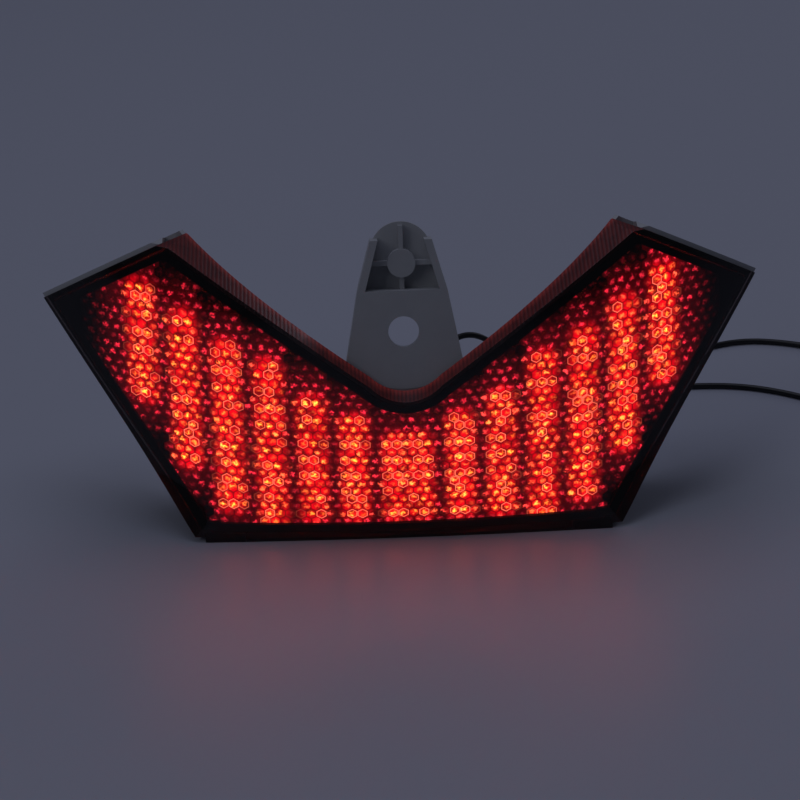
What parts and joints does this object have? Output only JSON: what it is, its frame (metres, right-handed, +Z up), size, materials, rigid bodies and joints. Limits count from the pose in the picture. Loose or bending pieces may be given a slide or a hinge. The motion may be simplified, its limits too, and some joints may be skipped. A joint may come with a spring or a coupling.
{
  "type": "tail light",
  "caption": "V-shaped motorcycle tail light: smoked lens over rows of red LEDs in a light-grey housing with a central mounting bracket and two free leads.",
  "frame": {"origin": "middle of the lamp's footprint, leads left out, on the surface it stands on", "axes": "+X across the lamp to the right seen from the front, -Y out of the lit face, +Z up"},
  "size_m": [0.2867, 0.1316, 0.0971],
  "materials": {
    "smoked_lens": "smoked acrylic, polished",
    "sealant": "black bonding bead",
    "mask": "black, matt",
    "prism": "clear red prism plate",
    "housing": "light grey, fine grain",
    "board": "white solder resist",
    "led": "red tinted epoxy",
    "screw": "zinc plated",
    "resistor": "lacquered",
    "diode": "black moulding",
    "wire": "sheathed wire",
    "lead": "black sheath",
    "grommet": "black, matt",
    "connector": "black nylon",
    "sleeve": "soft black sleeve",
    "contact": "tinned brass",
    "tie": "black nylon"
  },
  "bodies": {
    "root": {"board_centre": "board", "board_jumpers_left": "wire", "board_jumpers_right": "wire", "board_left": "board", "board_right": "board", "board_screws": "screw", "breather_plug": "grommet", "bullet_pin": "contact", "bullet_sleeve": "sleeve", "grommet_main": "grommet", "grommet_signal": "grommet", "housing": "housing", "inner_leads": "lead", "lead_main": "lead", "lead_main_coil": "lead", "lead_main_coil_tie": "tie", "lead_main_tail": "lead", "lead_signal": "lead", "lead_signal_coil": "lead", "lead_signal_coil_tie": "tie", "lead_signal_tail": "lead", "led_column_left_1": "led", "led_column_left_2": "led", "led_column_left_3": "led", "led_column_left_4": "led", "led_column_left_5": "led", "led_column_left_6": "led", "led_column_left_7": "led", "led_column_right_1": "led", "led_column_right_2": "led", "led_column_right_3": "led", "led_column_right_4": "led", "led_column_right_5": "led", "led_column_right_6": "led", "led_column_right_7": "led", "lens": "smoked_lens", "lens_bead": "sealant", "mask_frame": "mask", "plug_blades": "contact", "plug_shell": "connector", "prism_panel": "prism", "protection_diodes": "diode", "resistors_centre": "resistor", "resistors_left": "resistor", "resistors_right": "resistor"}
  },
  "joints": []
}
